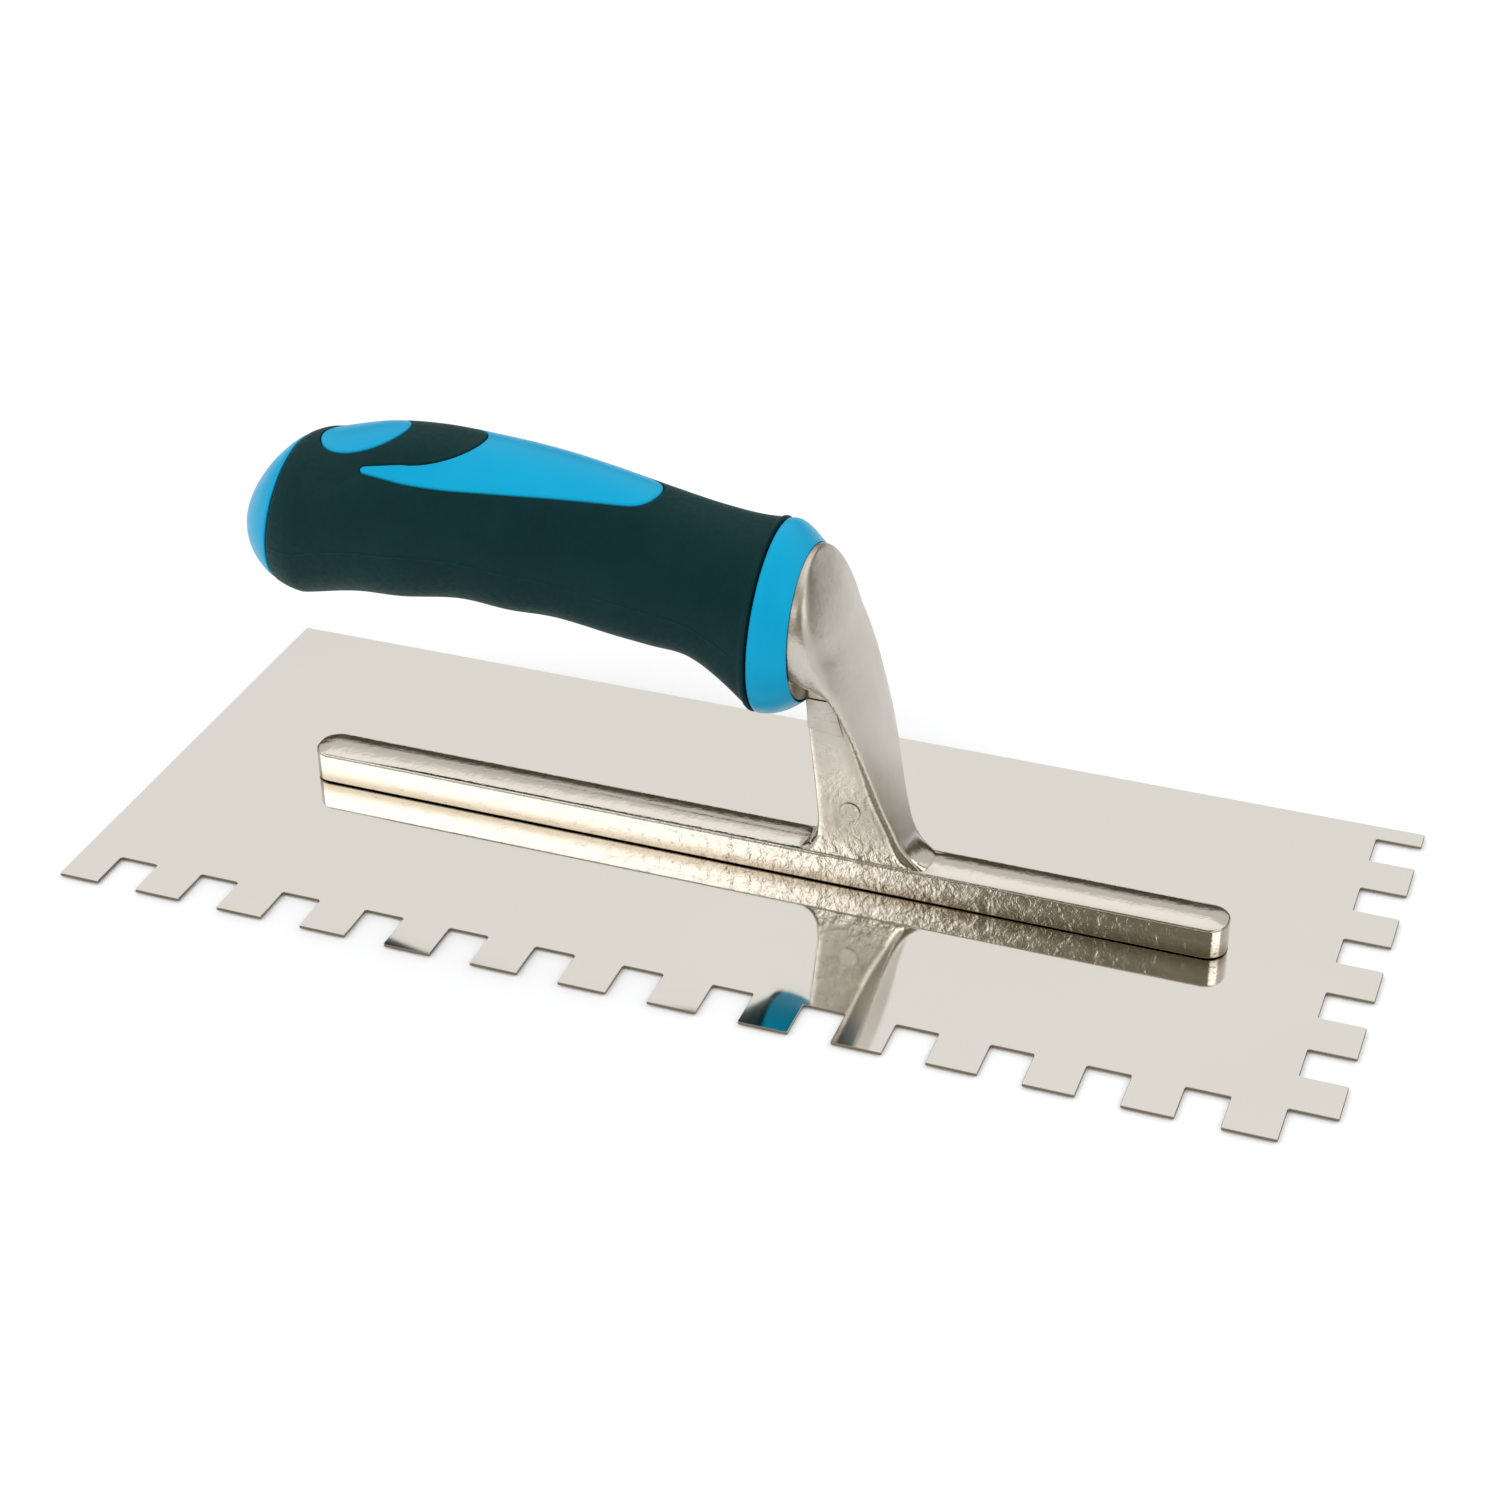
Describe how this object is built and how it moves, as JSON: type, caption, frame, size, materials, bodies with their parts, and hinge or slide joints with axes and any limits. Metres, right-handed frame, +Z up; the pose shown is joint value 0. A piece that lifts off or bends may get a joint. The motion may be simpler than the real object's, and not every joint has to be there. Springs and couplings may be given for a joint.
{
  "type": "notched trowel",
  "caption": "Notched adhesive trowel: flat blade toothed on one long and one short edge, cast bar and upright shank, two-colour soft-grip handle over the blade.",
  "frame": {"origin": "centre of the blade's underside, which is the bottom centre of the bounding box", "axes": "+X along the blade's long side towards its notched short edge, the notched long edge at -Y, +Z up from the blade to the handle"},
  "size_m": [0.28, 0.115, 0.093],
  "materials": {
    "polished_stainless": "mirror-polished stainless sheet",
    "cast_aluminium": "satin die casting, as cast and tumbled",
    "rivet_aluminium": "ground flush",
    "blue_plastic": "satin moulded polypropylene",
    "dark_green_rubber": "matte thermoplastic elastomer, fine moulded grain",
    "plated_steel": "bright zinc plate"
  },
  "bodies": {
    "root": {"blade": "polished_stainless", "mount_casting": "cast_aluminium", "rivet_1": "rivet_aluminium", "rivet_2": "rivet_aluminium", "rivet_3": "rivet_aluminium", "rivet_4": "rivet_aluminium", "rivet_5": "rivet_aluminium", "rivet_6": "rivet_aluminium", "rivet_7": "rivet_aluminium", "handle_core": "blue_plastic", "grip": "dark_green_rubber", "end_cap": "blue_plastic", "handle_screw": "plated_steel", "screw_washer": "plated_steel"}
  },
  "joints": []
}
